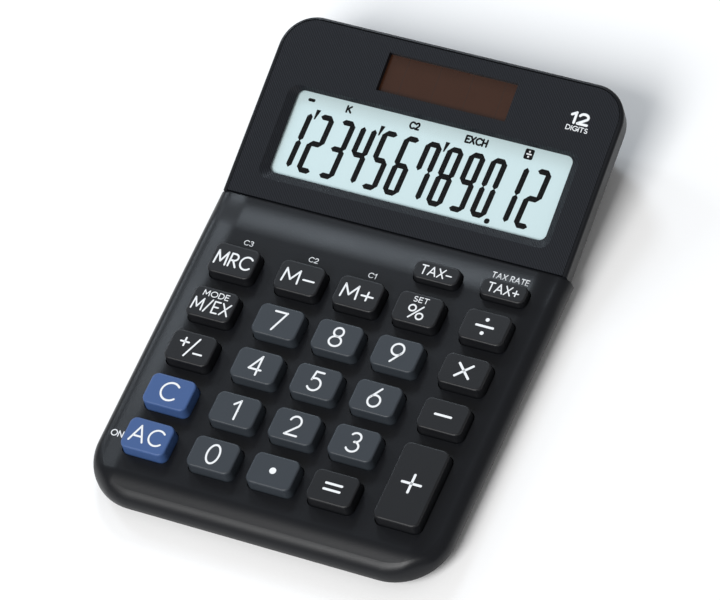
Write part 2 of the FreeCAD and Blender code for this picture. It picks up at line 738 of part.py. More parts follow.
def make_board_parts():
    """The sealed chip, capacitors and resistors on the underside of the board."""
    underside = DECK.Rotation.multiply(Rotation(ACROSS, 180))
    chip = doc.addObject("Part::Cone", "controller_chip")
    bind(chip, "Radius1", "chip_radius")
    bind(chip, "Radius2", "chip_top_radius")
    bind(chip, "Height", "chip_height")
    chip.Placement = Placement(deck_point(*CHIP_PLACE, BOARD_BOTTOM), underside)
    finish(chip, "controller_chip")
    for kind, places in (("capacitor", CAPACITORS), ("resistor", RESISTORS)):
        blocks = [slab(f"{kind}_{number}", f"{kind}_length", f"{kind}_width", f"{kind}_height", DECK,
                       BOARD_BOTTOM, (across, -down)) for number, (across, down) in enumerate(places)]
        finish(loose_group(f"board_{kind}s", blocks), f"board_{kind}s")


# ---------------------------------------------------------------- rear case and feet

def tapered_block(name, low_width, low_front, low_back, low_level, top_width, top_depth, corner, edge=None):
    """A block that widens upwards to a level and then rises straight, its low edge bevelled if asked."""
    body = new_body(name)
    low_centre = (0, (low_back - low_front) / 2)
    low_length = f"{low_back + low_front}"
    loft = body.newObject("PartDesign::AdditiveLoft", f"{name}_loft")
    sections = [rounded_rectangle(body, low_width, low_length, corner, low_level, low_centre),
                rounded_rectangle(body, top_width, top_depth, corner, size.rear_top_level),
                rounded_rectangle(body, top_width, top_depth, corner, size.overall_height)]
    if edge:
        sections[0].AttachmentOffset = Placement(Vector(0, low_centre[1], low_level + getattr(size, edge)),
                                                 Rotation())
        sections.insert(0, rounded_rectangle(body, f"{low_width} - 2 * {edge}", f"{low_length} - 2 * {edge}",
                                             corner, low_level, low_centre))
    loft.Profile = sections[0]
    loft.Sections = sections[1:]
    loft.Ruled = True
    return body


def side_region(name, clearance_level, bottom, reach=90.0):
    """Everything between a flat bottom and the bent surface at a depth below the case's top."""
    bend_top = DECK_Z - clearance_level
    points = [Vector(-reach, -reach, bend_top - (reach + KINK_Y) * TAN["deck_tilt"]),
              Vector(-reach, KINK_Y, bend_top),
              Vector(-reach, reach, bend_top + (reach - KINK_Y) * TAN["display_tilt"])]
    if bottom is None:
        lower = [point - Vector(0, 0, size.brim_thickness) for point in reversed(points)]
    else:
        lower = [Vector(-reach, reach, bottom), Vector(-reach, -reach, bottom)]
    outline = Part.Face(Part.makePolygon(points + lower + [points[0]]))
    item = doc.addObject("Part::Feature", name)
    item.Shape = outline.extrude(Vector(2 * reach, 0, 0))
    return item


def make_rear_case():
    """The lower half: a tapered tray with a brim inside the skirt, screw posts, foot recesses, cell ring."""
    floor_width = "glass_width + 2 * holder_side + 2 * case_wall - 2 * floor_side_tuck"
    top_width = "display_width - 2 * case_wall - 2 * tray_side_gap"
    top_depth = "overall_depth - 2 * case_wall - 2 * tray_end_gap"
    corner = "back_corner - case_wall - tray_corner_step"
    front = size.overall_depth / 2 - size.floor_front_inset
    back = size.overall_depth / 2 - size.floor_back_inset
    outside = tapered_block("tray_outside", floor_width, front, back, size.foot_height,
                            top_width, top_depth, corner, "rear_edge")
    inside = tapered_block("tray_inside", f"{floor_width} - 2 * case_wall",
                           front - size.case_wall, back - size.case_wall, REAR_INSIDE,
                           f"{top_width} - 2 * case_wall", f"{top_depth} - 2 * case_wall",
                           f"{corner} - case_wall")
    skirt_level = size.skirt_drop - size.panel_step
    below_brim = side_region("below_brim", skirt_level - size.brim_thickness, 0.0)
    brim_band = side_region("brim_band", skirt_level - size.brim_thickness, None)
    tray = shared("tray_trimmed", outside, below_brim)
    brim = shared("brim", brim_plan(), brim_band)
    posts, bores = rear_posts()
    walls = joined("tray_walls", [tray, brim])
    hollow = cut("tray_hollow", walls, inside)
    whole = joined("tray_with_posts", [hollow] + posts + [cell_ring()])
    finish(cut("rear_case", whole, joined("tray_openings", bores)), "rear_case")


def brim_plan():
    """An upright block inside the skirt all round, which the brim is cut from."""
    gap = size.case_wall + size.fit_gap
    deck_width = size.overall_width - 2 * gap
    display_width = size.display_width - 2 * gap
    deck_run = size.overall_depth - size.display_run - gap
    display_run = size.display_run - gap
    blocks = []
    for name, width, run, corner, side in (("brim_deck", deck_width, deck_run, "front_corner", -1),
                                           ("brim_display", display_width, display_run, "back_corner", 1)):
        centre = (0, KINK_Y + side * run / 2)
        body = new_body(name)
        feature = pad(body, rectangle(body, f"{width}", f"{run}", 0.0, centre), "2 * overall_height")
        round_edges(body, feature, f"{corner} - case_wall - fit_gap",
                    lambda edge, side=side: is_upright(edge) and (edge.CenterOfMass.y - KINK_Y) * side > 1)
        blocks.append(body)
    return joined("brim_plan", blocks)


def rear_posts():
    """Posts that the case screws pass through, with counterbores from below, and the foot recesses."""
    posts, bores = [], []
    for number, (across, along) in enumerate(FRONT_SCREWS + BACK_SCREWS):
        extra = 0.0 if along < 0 else size.back_post_extra
        seat = REAR_INSIDE + extra
        top = seat + size.screw_head_height
        foot = Vector(across, along, size.foot_height)
        posts.append(cylinder(f"rear_post_{number}", "screw_head_radius + counterbore_wall", foot,
                              top - size.foot_height))
        bores.append(cylinder(f"rear_counterbore_{number}", "screw_head_radius + fit_gap",
                              foot - Vector(0, 0, 1), seat - size.foot_height + 1))
        bores.append(cylinder(f"rear_hole_{number}", "screw_radius + fit_gap", foot, top + 1))
    for number, (across, along) in enumerate(FEET):
        bores.append(cylinder(f"foot_recess_{number}", "foot_radius + recess_gap",
                              Vector(across, along, size.foot_height - 1), 1 + size.foot_recess))
    return posts, bores


def cell_ring():
    """The low ring on the floor that keeps the button cell in place, open on one side."""
    across, along = CELL_PLACE
    sunk = size.rear_floor / 4
    base = Vector(across, along, REAR_INSIDE - sunk)
    outside = cylinder("cell_ring_outside", "cell_radius + ring_wall", base, size.ring_height + sunk)
    inside = cylinder("cell_ring_inside", "cell_radius + fit_gap", base - Vector(0, 0, 1),
                      2 * size.ring_height)
    gate = doc.addObject("Part::Box", "cell_ring_gate")
    bind(gate, "Length", "2 * cell_radius")
    bind(gate, "Width", "contact_width + 2")
    gate.Height = 3 * size.ring_height
    gate.Placement = Placement(base + Vector(0, -size.contact_width / 2 - 1, -1), Rotation())
    return cut("cell_ring", outside, joined("cell_ring_space", [inside, gate]))


def make_feet():
    """Four rubber discs pressed into the recesses of the rear case."""
    feet = [cylinder(f"foot_{number}", "foot_radius", Vector(across, along, 0),
                     size.foot_height + size.foot_recess)
            for number, (across, along) in enumerate(FEET)]
    finish(loose_group("rubber_feet", feet), "rubber_feet")


# ---------------------------------------------------------------- screws

def screw(name, radius, head_radius, length, head_height, seat, frame):
    """A pan-head screw: its head below the seat and its shank above it."""
    up = frame.Rotation.multVec(Vector(0, 0, 1))
    head = cylinder(f"{name}_head", head_radius, seat - up * head_height, head_height, frame)
    shank = cylinder(f"{name}_shank", radius, seat - up * 0.1, length + 0.1, frame)
    slot = doc.addObject("Part::Box", f"{name}_slot")
    reach = 0.8 * getattr(size, head_radius)
    clear = 0.1
    slot.Length = 2 * reach
    bind(slot, "Width", "slot_width")
    slot.Height = size.slot_depth
    corner = Vector(-reach, -size.slot_width / 2, -head_height - clear)
    slot.Placement = Placement(seat, frame.Rotation).multiply(Placement(corner, Rotation()))
    return cut(name, joined(f"{name}_whole", [head, shank]), slot)


def make_screws():
    """The screws of the case, the board and the display holder, one group each."""
    level = Placement()
    case = []
    for number, (across, along) in enumerate(FRONT_SCREWS + BACK_SCREWS):
        extra = 0.0 if along < 0 else size.back_post_extra
        seat = Vector(across, along, REAR_INSIDE + extra)
        case.append(screw(f"case_screw_{number}", "screw_radius", "screw_head_radius", size.screw_length,
                          size.screw_head_height, seat, level))
    finish(loose_group("case_screws", case), "case_screws")
    board = [screw(f"board_screw_{number}", "small_screw_radius", "small_head_radius",
                   size.board_thickness + 1.6, size.small_head_height,
                   deck_point(across, down, BOARD_BOTTOM), DECK)
             for number, (across, down) in enumerate(BOARD_SCREWS)]
    finish(loose_group("board_screws", board), "board_screws")
    holder = [screw(f"holder_screw_{number}", "small_screw_radius", "small_head_radius",
                    size.holder_thickness + 1.2, size.small_head_height,
                    display_point(across, up, HOLDER_BOTTOM), DISPLAY)
              for number, (across, up) in enumerate(HOLDER_SCREWS)]
    finish(loose_group("holder_screws", holder), "holder_screws")


# ---------------------------------------------------------------- power

def make_button_cell():
    """The cell on its lower contact, with the sprung upper contact over it."""
    across, along = CELL_PLACE
    floor = Vector(across, along, REAR_INSIDE)
    lower = cylinder("battery_contact_negative", "cell_radius - 1.5", floor, size.contact_thickness)
    finish(lower, "battery_contact_negative")
    up = Vector(0, 0, size.contact_thickness)
    cell = cylinder("button_cell", "cell_radius", floor + up, size.cell_height)
    finish(cell, "button_cell")
    cell_top = REAR_INSIDE + size.contact_thickness + size.cell_height
    middle = size.contact_thickness / 2
    outer = across + size.cell_radius + 2.2
    arm_level = cell_top + middle
    side_view = [(outer + 2.6, REAR_INSIDE + middle), (outer, REAR_INSIDE + middle), (outer, arm_level),
                 (across - 3.0, arm_level)]
    finish(bent_contact("battery_contact_positive", side_view, along), "battery_contact_positive")


def bent_contact(name, points, along):
    """A folded metal contact: a line of points in the front view, thickened and run along Y."""
    half = size.contact_width / 2
    wire = Part.makePolygon([Vector(x, along - half, z) for x, z in points])
    outline = wire.makeOffset2D(size.contact_thickness / 2, join=2, fill=True, openResult=True)
    item = doc.addObject("Part::Feature", name)
    item.Shape = outline.extrude(Vector(0, size.contact_width, 0))
    return item


def wire_tube(name, points):
    """A round wire along straight runs joined by tangent arcs."""
    edges = []
    start = points[0]
    for before, corner, after in zip(points, points[1:], points[2:]):
        back = (before - corner)
        onward = (after - corner)
        turn = math.pi - back.getAngle(onward)
        setback = 0.45 * min(back.Length, onward.Length)
        back.normalize()
        onward.normalize()
        first = corner + back * setback
        second = corner + onward * setback
        radius = setback / math.tan(turn / 2)
        centre_way = (back + onward).normalize()
        centre = corner + centre_way * (radius / math.cos(turn / 2))
        middle = centre - centre_way * radius
        edges.append(Part.makeLine(start, first))
        edges.append(Part.Arc(first, middle, second).toShape())
        start = second
    edges.append(Part.makeLine(start, points[-1]))
    path = Part.Wire(edges)
    section = Part.Wire([Part.makeCircle(size.wire_radius, points[0], points[1] - points[0])])
    item = doc.addObject("Part::Feature", name)
    item.Shape = path.makePipeShell([section], True, False, 2)
    return item


def make_wires():
    """Two wires from the solar cell and two from the button cell, to the underside of the board."""
    run_level = CELL_BOTTOM - 4.6
    solar = []
    for side in (-1, 1):
        across = side * (size.solar_width / 2 - 1.2)
        under_board = -(size.board_start + 3.0)
        solar.append(wire_tube(f"solar_wire_{side}", [
            display_point(across, size.solar_up, CELL_BOTTOM),
            display_point(across, size.solar_up, run_level),
            display_point(across, 8.0, run_level),
            deck_point(across, -under_board, BOARD_BOTTOM - 1.4),
            deck_point(across, -under_board, BOARD_BOTTOM)]))
    finish(loose_group("solar_wires", solar), "solar_wires")
    across, along = CELL_PLACE
    level = REAR_INSIDE + size.wire_radius + 0.2
    far = across + size.cell_radius + 2.2
    board_x = far + 2.0
    battery = [wire_tube("battery_wire_positive", [
        Vector(board_x, along - size.contact_width / 2 - 0.1, level),
        Vector(board_x, along - 14, level),
        deck_point(board_x - 1, 5.0, BOARD_BOTTOM - 1.3),
        deck_point(board_x - 1, 5.0, BOARD_BOTTOM)])]
    near = across - size.cell_radius - 2.4
    battery.append(wire_tube("battery_wire_negative", [
        Vector(across + size.cell_radius + 1.0, along - 1.5, REAR_INSIDE + size.wire_radius + 0.1),
        Vector(across + size.cell_radius + 4.4, along - 5, level),
        Vector(near + 12.0, along - 12.5, level),
        deck_point(near + 14, 5.0, BOARD_BOTTOM - 1.3),
        deck_point(near + 14, 5.0, BOARD_BOTTOM)]))
    finish(loose_group("battery_wires", battery), "battery_wires")


# ---------------------------------------------------------------- whole calculator

def check_document():
    """Stops if any object failed to compute or any sub-part is empty or faulty."""
    failed = [item.Name for item in doc.Objects if "Invalid" in item.State or "Error" in item.State]
    if failed:
        raise RuntimeError(f"objects that failed: {failed}")
    for item in parts:
        if item.Shape.isNull() or not item.Shape.isValid() or not item.Shape.Solids:
            raise RuntimeError(f"bad shape: {item.Label}")


def main():
    """Builds every sub-part and writes one file for each."""
    fill_sheet()
    make_upper_case()
    make_display_panel()
    make_display_stack()
    make_display_holder()
    make_display_ribbon()
    for key in key_list():
        make_key(*key)
    make_rubber_keypad()
    make_circuit_board()
    make_board_parts()
    make_rear_case()
    make_feet()
    make_screws()
    make_button_cell()
    make_wires()
    doc.recompute()
    check_document()
    os.makedirs("parts", exist_ok=True)
    for item in parts:
        item.Shape.exportStep(f"parts/{item.Label}.step")
        print(item.Label, len(item.Shape.Solids), round(item.Shape.Volume, 1))


main()
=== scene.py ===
"""Looks of a desk calculator: printed legends, display marks, finishes and a studio stage.

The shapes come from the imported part. This script prints the keys, fills the display, gives every
surface its finish and sets up the floor, the lights and the camera.
"""

import json
import math

import bpy
from mathutils import Matrix, Vector


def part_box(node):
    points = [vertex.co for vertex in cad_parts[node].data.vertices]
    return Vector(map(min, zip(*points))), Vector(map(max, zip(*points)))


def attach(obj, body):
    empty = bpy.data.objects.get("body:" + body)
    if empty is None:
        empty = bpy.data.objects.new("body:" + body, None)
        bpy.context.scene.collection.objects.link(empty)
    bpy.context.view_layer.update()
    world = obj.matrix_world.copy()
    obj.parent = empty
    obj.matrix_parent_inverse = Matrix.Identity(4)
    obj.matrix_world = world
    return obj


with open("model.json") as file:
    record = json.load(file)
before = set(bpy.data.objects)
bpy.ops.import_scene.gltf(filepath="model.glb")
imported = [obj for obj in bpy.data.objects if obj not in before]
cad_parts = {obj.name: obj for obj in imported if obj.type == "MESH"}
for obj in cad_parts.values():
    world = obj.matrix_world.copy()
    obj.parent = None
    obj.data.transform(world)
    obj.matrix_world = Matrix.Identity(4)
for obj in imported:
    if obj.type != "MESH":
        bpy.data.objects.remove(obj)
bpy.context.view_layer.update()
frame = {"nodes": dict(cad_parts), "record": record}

bl_info = {
    "name": "Desk calculator looks",
    "version": (1, 0, 0),
    "blender": (4, 5, 0),
    "location": "3D View > Sidebar > Calculator",
    "description": "Legends, display marks, finishes and stage of a desk calculator",
    "category": "Object",
}

MM = 0.001
HOUSING = "housing"

# How the deck and the display lie, as in the part. The rises and the gap are in millimetres.
FOLD_Y = 21.85 * MM
DECK_LEVEL = 9.593 * MM
PANEL_LEVEL = 10.093 * MM
DECK_TILT = math.radians(1.0)
DISPLAY_TILT = math.radians(13.0)
KEY_RISE = 3.6
TAX_KEY_RISE = 2.4
PRINT_GAP = 0.006

# The shading that makes the deck's flat face seem to ease down towards its borders: how far from the
# fold or from the middle it starts and ends, and how deep it seems.
BACK_EASE = (11.0 * MM, 1.5 * MM, 0.95 * MM)
FRONT_EASE = (88.0 * MM, 96.5 * MM, 2.5 * MM)
SIDE_EASE = (42.5 * MM, 49.5 * MM, 1.1 * MM)

# How far the display's marks lie below the panel's face, in millimetres: on the glass, under the window.
MARKS_LEVEL = -2.474

# What is printed on each key: words with their width, height, place up the key and stroke, in millimetres.
KEY_WORDS = {
    "mrc": [("MRC", 11.0, 4.5, 0.0, 0.58)],
    "m_minus": [("M−", 9.6, 4.5, 0.0, 0.58)],
    "m_plus": [("M+", 9.6, 4.5, 0.0, 0.58)],
    "percent": [("SET", 4.4, 1.75, 2.75, 0.26), ("%", 5.2, 4.4, -1.05, 0.5)],
    "mode": [("MODE", 7.7, 1.85, 2.75, 0.28), ("M/EX", 11.2, 3.95, -0.9, 0.48)],
    "c": [("C", 5.2, 6.0, 0.0, 0.64)],
    "ac": [("AC", 9.7, 5.3, 0.0, 0.6)],
    "tax_minus": [("TAX−", 9.2, 3.0, 0.0, 0.4)],
    "tax_plus": [("TAX+", 9.2, 3.0, 0.0, 0.4)],
}
KEY_WORDS.update({digit: [(digit, 2.2 if digit == "1" else 4.1, 6.3, 0.0, 0.64)] for digit in "0123456789"})

# Signs made of bars (length, width, across, up, turn) and dots (radius, across, up).
KEY_BARS = {
    "divide": [(5.4, 0.66, 0.0, 0.0, 0.0)],
    "multiply": [(6.2, 0.66, 0.0, 0.0, 45.0), (6.2, 0.66, 0.0, 0.0, -45.0)],
    "minus": [(5.2, 0.66, 0.0, 0.0, 0.0)],
    "plus": [(6.0, 0.7, 0.0, 0.0, 0.0), (6.0, 0.7, 0.0, 0.0, 90.0)],
    "equals": [(5.2, 0.66, 0.0, 0.9, 0.0), (5.2, 0.66, 0.0, -0.9, 0.0)],
    "sign": [(2.9, 0.5, -2.3, 1.2, 0.0), (2.9, 0.5, -2.3, 1.2, 90.0), (6.8, 0.5, 0.3, 0.0, 66.0),
             (2.9, 0.5, 2.6, -1.6, 0.0)],
}
KEY_DOTS = {
    "divide": [(0.55, 0.0, 2.1), (0.55, 0.0, -2.1)],
    "point": [(0.95, 0.0, 0.0)],
}

# What is printed on the deck: words, width, height, across, down the deck, stroke.
DECK_WORDS = [
    ("C3", 2.9, 1.7, -37.0, 13.9, 0.27),
    ("C2", 2.9, 1.7, -17.5, 13.9, 0.27),
    ("C1", 2.4, 1.7, 0.0, 13.9, 0.27),
    ("TAX RATE", 10.8, 1.9, 36.6, 4.4, 0.3),
    ("ON", 3.7, 2.0, -47.1, 78.4, 0.32),
]

# What is printed on the panel: words, width, height, across, up the display, stroke.
PANEL_WORDS = [
    ("12", 5.7, 3.7, 39.2, 43.4, 0.8),
    ("DIGITS", 6.4, 1.5, 39.35, 40.4, 0.26),
]

# The display's digits: its segments in each figure, from the top one clockwise, the middle one last.
SEGMENTS = {
    "0": "abcdef", "1": "bc", "2": "abged", "3": "abgcd", "4": "fgbc", "5": "afgcd",
    "6": "afgedc", "7": "fabc", "8": "abcdefg", "9": "abcdfg",
}
READING = "123456789012"
APOSTROPHES = (0, 3, 6)
POINT_AFTER = 9

# In millimetres: where the first digit starts, the step from digit to digit, and how far up they stand.
DIGIT_START = -40.63
DIGIT_PITCH = 6.47
DIGIT_FRONT = 10.48

# As shares of a segment's width: the gap at its ends, and how far its points reach into the corners.
SEGMENT_GAP = 0.13
FLAT_REACH = 0.5
TALL_REACH = 0.4

# In millimetres: how far right of its digit a thousands mark or the point stands, the size of each, and
# how far its middle is below the digit's top or the digit's foot.
MARK_ASIDE = 0.95
APOSTROPHE_SIZE = (1.25, 2.9)
APOSTROPHE_DROP = 0.6
POINT_SIZE = (1.5, 1.5)
POINT_DROP = 0.27

# A thousands mark's foot, as shares of the mark's width: how wide it is and how far left it lies.
FOOT_WIDTH = 0.3
FOOT_ASIDE = 0.2

# The corners of the display's bars, as a share of the bar's width and the number of faces of each.
POINTED = (0.49, 1)
ROUNDED = (0.4, 3)
TRIMMED = (0.16, 3)

# The display's indicators: words with their width, height, place across and stroke, then bars with
# their length, width and place across. The last bar is a box with a division sign in it.
INDICATOR_UP = 31.1
INDICATOR_WORDS = [
    ("K", 1.8, 2.3, -25.5, 0.55),
    ("C2", 3.2, 2.35, -5.8, 0.55),
    ("EXCH", 6.7, 2.4, 12.6, 0.55),
]
SIGN_BOX_ACROSS = 28.1
MINUS_BAR = (2.1, 0.9, -36.84)
SIGN_BOX = (3.0, 2.6, SIGN_BOX_ACROSS)
SIGN_BAR = (1.6, 0.42, SIGN_BOX_ACROSS)
SIGN_DOT_RADIUS = 0.28
SIGN_DOT_UP = 0.75

# The stage: tints of the floor and the light, and each lamp's name, width, place and tint, in metres.
FLOOR_TONE = (0.93, 0.93, 0.93)
WHITE = (1.0, 1.0, 1.0)
COOL = (0.80, 0.90, 1.0)
LAMPS = [
    ("main_light", 1.2, (-0.24, -1.5, 1.58), WHITE),
    ("back_light", 0.14, (-0.255, 0.47, 0.40), COOL),
    ("side_light", 0.14, (-0.56, 0.30, 0.40), COOL),
]

# The camera: its lens in millimetres, its place in metres and the way its three axes point.
CAMERA_LENS = 267.69
CAMERA_SENSOR = 36.0
CAMERA_REACH = (0.05, 20.0)
CAMERA_PLACE = (0.53323, -0.6171, 1.17368)
CAMERA_AXES = (
    (0.896167, 0.395638, -0.200886),
    (-0.236851, 0.809372, 0.537419),
    (0.375215, -0.434037, 0.819039),
)

# The wave texture's own pitch at a scale of 1, and how far left of the middle stripes are counted from,
# in metres.
WAVE_PITCH = 0.314159
STRIPES_START = 0.1


def arc(across, up, wide, high, start, end):
    """Points along an ellipse from one angle to another, in degrees."""
    steps = max(3, round(abs(end - start) / 15))
    angles = [math.radians(start + (end - start) * step / steps) for step in range(steps + 1)]
    return [(across + wide * math.cos(angle), up + high * math.sin(angle)) for angle in angles]


# A line of the pen is cut where it turns by more than this. Each stroke's end is rounded by points that
# lie that far beyond it and are that wide, as shares of the pen's radius.
SHARP_TURN = math.radians(40.0)
ROUND_END = ((0.5, 0.87), (0.87, 0.5), (1.0, 0.08))

# The lettering: the width of each character and its pen lines, on a height of 1.
LETTER_GAP = 0.24
GLYPHS = {
    "0": (0.62, [arc(0.31, 0.5, 0.31, 0.5, 90, 450)]),
    "1": (0.26, [[(0.0, 0.76), (0.26, 1.0), (0.26, 0.0)]]),
    "2": (0.60, [arc(0.29, 0.70, 0.28, 0.30, 165, -38) + [(0.0, 0.0), (0.60, 0.0)]]),
    "3": (0.60, [arc(0.29, 0.76, 0.25, 0.24, 150, -90), arc(0.29, 0.27, 0.30, 0.27, 85, -150)]),
    "4": (0.66, [[(0.48, 0.0), (0.48, 1.0), (0.0, 0.28), (0.66, 0.28)]]),
    "5": (0.58, [[(0.52, 1.0), (0.15, 1.0), (0.08, 0.55)] + arc(0.27, 0.33, 0.31, 0.33, 125, -145)]),
    "6": (0.60, [[(0.44, 1.0), (0.04, 0.44)], arc(0.30, 0.31, 0.30, 0.31, 90, 450)]),
    "7": (0.58, [[(0.0, 1.0), (0.58, 1.0), (0.16, 0.0)]]),
    "8": (0.60, [arc(0.30, 0.765, 0.235, 0.235, 90, 450), arc(0.30, 0.265, 0.30, 0.265, 90, 450)]),
    "9": (0.60, [arc(0.30, 0.69, 0.30, 0.31, 90, 450), [(0.16, 0.0), (0.56, 0.56)]]),
    "A": (0.80, [[(0.0, 0.0), (0.40, 1.0), (0.80, 0.0)], [(0.14, 0.33), (0.66, 0.33)]]),
    "C": (0.80, [arc(0.46, 0.5, 0.46, 0.5, 45, 315)]),
    "D": (0.70, [[(0.26, 0.0), (0.0, 0.0), (0.0, 1.0), (0.26, 1.0)], arc(0.26, 0.5, 0.44, 0.5, 90, -90)]),
    "E": (0.46, [[(0.46, 1.0), (0.0, 1.0), (0.0, 0.0), (0.46, 0.0)], [(0.0, 0.52), (0.42, 0.52)]]),
    "G": (0.82, [arc(0.46, 0.5, 0.46, 0.5, 45, 350), [(0.91, 0.44), (0.50, 0.44)]]),
    "H": (0.62, [[(0.0, 0.0), (0.0, 1.0)], [(0.62, 0.0), (0.62, 1.0)], [(0.0, 0.5), (0.62, 0.5)]]),
    "I": (0.02, [[(0.01, 0.0), (0.01, 1.0)]]),
    "K": (0.54, [[(0.0, 0.0), (0.0, 1.0)], [(0.50, 1.0), (0.0, 0.42)], [(0.17, 0.58), (0.54, 0.0)]]),
    "M": (0.84, [[(0.0, 0.0), (0.06, 1.0), (0.42, 0.22), (0.78, 1.0), (0.84, 0.0)]]),
    "N": (0.68, [[(0.0, 0.0), (0.0, 1.0), (0.68, 0.0), (0.68, 1.0)]]),
    "O": (0.92, [arc(0.46, 0.5, 0.46, 0.5, 90, 450)]),
    "R": (0.56, [[(0.0, 0.0), (0.0, 1.0), (0.26, 1.0)], arc(0.26, 0.74, 0.27, 0.26, 90, -90),
                 [(0.26, 0.48), (0.0, 0.48)], [(0.24, 0.48), (0.56, 0.0)]]),
    "S": (0.50, [arc(0.26, 0.75, 0.22, 0.25, 45, 270) + arc(0.25, 0.25, 0.25, 0.25, 85, -140)]),
    "T": (0.60, [[(0.0, 1.0), (0.60, 1.0)], [(0.30, 1.0), (0.30, 0.0)]]),
    "X": (0.66, [[(0.0, 0.0), (0.66, 1.0)], [(0.0, 1.0), (0.66, 0.0)]]),
    "/": (0.42, [[(0.0, -0.06), (0.42, 1.06)]]),
    "%": (0.92, [arc(0.19, 0.76, 0.19, 0.24, 90, 450), arc(0.73, 0.24, 0.19, 0.24, 90, 450),
                 [(0.16, 0.0), (0.76, 1.0)]]),
    "+": (0.62, [[(0.0, 0.42), (0.62, 0.42)], [(0.31, 0.10), (0.31, 0.74)]]),
    "−": (0.56, [[(0.0, 0.42), (0.56, 0.42)]]),
    " ": (0.22, []),
}


# --- materials ---------------------------------------------------------------------------------


class Value:
    """A number in a material that plain arithmetic works on."""

    def __init__(self, recipe, socket):
        self.recipe = recipe
        self.socket = socket

    def worked(self, operation, first, second):
        node = self.recipe.node("ShaderNodeMath", {"operation": operation}, {0: first, 1: second})
        return Value(self.recipe, node.outputs[0])

    def __add__(self, other):
        return self.worked("ADD", self, other)

    def __radd__(self, other):
        return self.worked("ADD", other, self)

    def __sub__(self, other):
        return self.worked("SUBTRACT", self, other)

    def __rsub__(self, other):
        return self.worked("SUBTRACT", other, self)

    def __mul__(self, other):
        return self.worked("MULTIPLY", self, other)

    def __gt__(self, other):
        return self.worked("GREATER_THAN", self, other)

    def __lt__(self, other):
        return self.worked("LESS_THAN", self, other)


class Recipe:
    """One material under construction."""

    def __init__(self, name):
        self.material = bpy.data.materials.new(name)
        self.material.use_nodes = True
        self.tree = self.material.node_tree
        self.tree.nodes.clear()
        output = self.node("ShaderNodeOutputMaterial")
        self.shader = self.node("ShaderNodeBsdfPrincipled")
        self.join(self.shader.outputs[0], output.inputs["Surface"])
        self.coordinates = self.node("ShaderNodeTexCoord").outputs["Object"]

    def join(self, source, target):
        self.tree.links.new(source, target)

    def node(self, kind, settings=None, values=None):
        """A node of that type, with its settings and then the values or links of its sockets."""
        made = self.tree.nodes.new(kind)
        for name, setting in (settings or {}).items():
            setattr(made, name, setting)
        for name, value in (values or {}).items():
            self.feed(made.inputs[name], value)
        return made

    def feed(self, socket, value):
        if isinstance(value, Value):
            self.join(value.socket, socket)
        elif isinstance(value, bpy.types.NodeSocket):
            self.join(value, socket)
        elif socket.type == "RGBA" and len(value) == 3:
            socket.default_value = (*value, 1.0)
        else:
            socket.default_value = value

    def mapped(self, scale=(1.0, 1.0, 1.0), turn=0.0):
        """The piece's coordinates, stretched and turned about the upright axis."""
        return self.node("ShaderNodeMapping", None, {
            "Vector": self.coordinates, "Scale": scale, "Rotation": (0.0, 0.0, turn),
        }).outputs["Vector"]

    def noise(self, grain, detail=2.0, roughness=0.5, where=None):
        """Soft noise whose lumps are about grain metres wide."""
        node = self.node("ShaderNodeTexNoise", None, {
            "Vector": where or self.coordinates, "Scale": 1.0 / grain, "Detail": detail,
            "Roughness": roughness,
        })
        return Value(self, node.outputs["Fac"])

    def pits(self, grain):
        """Cells about grain metres wide, as left by spark erosion on a mould."""
        node = self.node("ShaderNodeTexVoronoi", {"feature": "SMOOTH_F1"}, {
            "Vector": self.coordinates, "Scale": 1.0 / grain, "Smoothness": 0.6,
        })
        return Value(self, node.outputs["Distance"])

    def lines(self, pitch, turn):
        """Fine parallel lines, pitch metres apart, that run across the turned X axis."""
        node = self.node("ShaderNodeTexWave", {"wave_type": "BANDS", "bands_direction": "X"}, {
            "Vector": self.mapped(turn=turn), "Scale": WAVE_PITCH / pitch, "Distortion": 0.0,
        })
        return Value(self, node.outputs["Fac"])

    def axis(self, name):
        """How far along X, Y or Z each point lies, in metres."""
        split = self.node("ShaderNodeSeparateXYZ", None, {0: self.coordinates})
        return Value(self, split.outputs[name])

    def absolute(self, value):
        node = self.node("ShaderNodeMath", {"operation": "ABSOLUTE"}, {0: value})
        return Value(self, node.outputs[0])

    def ramp(self, value, start, end):
        """From 0 at start to 1 at end, eased at both ends."""
        node = self.node("ShaderNodeMapRange", {"interpolation_type": "SMOOTHSTEP"}, {
            "Value": value, "From Min": start, "From Max": end,
        })
        return Value(self, node.outputs["Result"])

    def stripes(self, pitch, width):
        """1 on lines that run along Y, pitch metres apart and width metres wide, and 0 between them."""
        across = self.axis("X") + STRIPES_START
        node = self.node("ShaderNodeMath", {"operation": "FLOORED_MODULO"}, {0: across, 1: pitch})
        return Value(self, node.outputs[0]) < width

    def blend(self, share, first, second):
        """A colour between first and second."""
        node = self.node("ShaderNodeMix", {"data_type": "RGBA"}, {0: share, 6: first, 7: second})
        return node.outputs[2]

    def shades(self, share, colour, spread):
        """The colour, a little darker and a little lighter."""
        darker = tuple(part * (1.0 - spread) for part in colour)
        lighter = tuple(min(1.0, part * (1.0 + spread)) for part in colour)
        return self.blend(share, darker, lighter)

    def bump(self, height, depth):
        """Relief whose full height is depth metres."""
        return self.node("ShaderNodeBump", None, {"Height": height, "Distance": depth}).outputs["Normal"]

    def surface(self, **inputs):
        """Sets the shader's sockets, named with spaces as underscores."""
        for name, value in inputs.items():
            self.feed(self.shader.inputs[name.replace("_", " ")], value)
        return self.material


